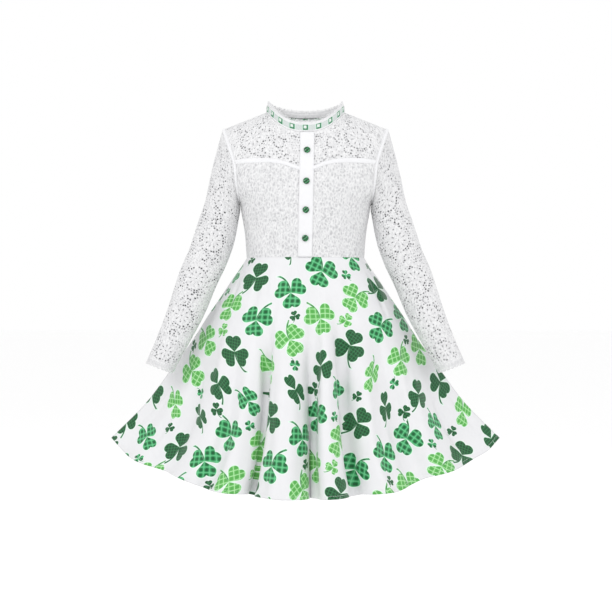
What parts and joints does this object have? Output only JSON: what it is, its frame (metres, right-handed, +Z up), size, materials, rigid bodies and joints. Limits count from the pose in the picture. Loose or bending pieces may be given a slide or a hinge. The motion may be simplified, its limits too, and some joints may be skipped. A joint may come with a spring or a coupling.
{
  "type": "girl's lace dress",
  "caption": "Girl's long-sleeved dress with a sheer lace yoke and sleeves, buttoned front band, standing neckband and a flared printed skirt held out at the sides.",
  "frame": {"origin": "middle of the line across the two shoulder seams, where the dress hangs on the wearer's shoulders", "axes": "+Z up, front of the dress towards -Y, wearer's left towards +X"},
  "size_m": [0.7494, 0.4274, 0.7459],
  "materials": {
    "lace": "white corded flower lace",
    "sleeve_lace": "white corded flower lace, unlined and sheer",
    "lining": "white satin, soft sheen",
    "cotton": "plain white cotton, matte",
    "ribbon": "pale mint ribbon with small green figures",
    "picot": "white looped edging",
    "print": "white poplin printed with green three-leaf clovers",
    "button": "dark green, streaked, polished",
    "zip_tape": "white woven tape",
    "zip_metal": "white lacquer"
  },
  "bodies": {
    "dress": {"front_lace": "lace", "back_lace_left": "lace", "back_lace_right": "lace", "front_lining": "lining", "back_lining_left": "lining", "back_lining_right": "lining", "lining_edge_left": "cotton", "lining_edge_right": "cotton", "placket": "cotton", "button_1": "button", "button_2": "button", "button_3": "button", "button_4": "button", "neck_band": "ribbon", "neck_frill": "picot", "armhole_binding_left": "cotton", "armhole_binding_right": "cotton", "sleeve_left": "sleeve_lace", "sleeve_right": "sleeve_lace", "cuff_left": "cotton", "cuff_right": "cotton", "skirt_front": "print", "skirt_back_left": "print", "skirt_back_right": "print", "zip_tape": "zip_tape", "zip_slider": "zip_metal"},
    "pull": {"zip_pull": "zip_metal"}
  },
  "joints": [
    {"name": "zip_pull_hinge", "type": "hinge", "parent": "dress", "child": "pull", "pos_m": [0, 0.0593, -0.00381], "axis": [1, 0, 0], "range_deg": [0, 130]}
  ]
}
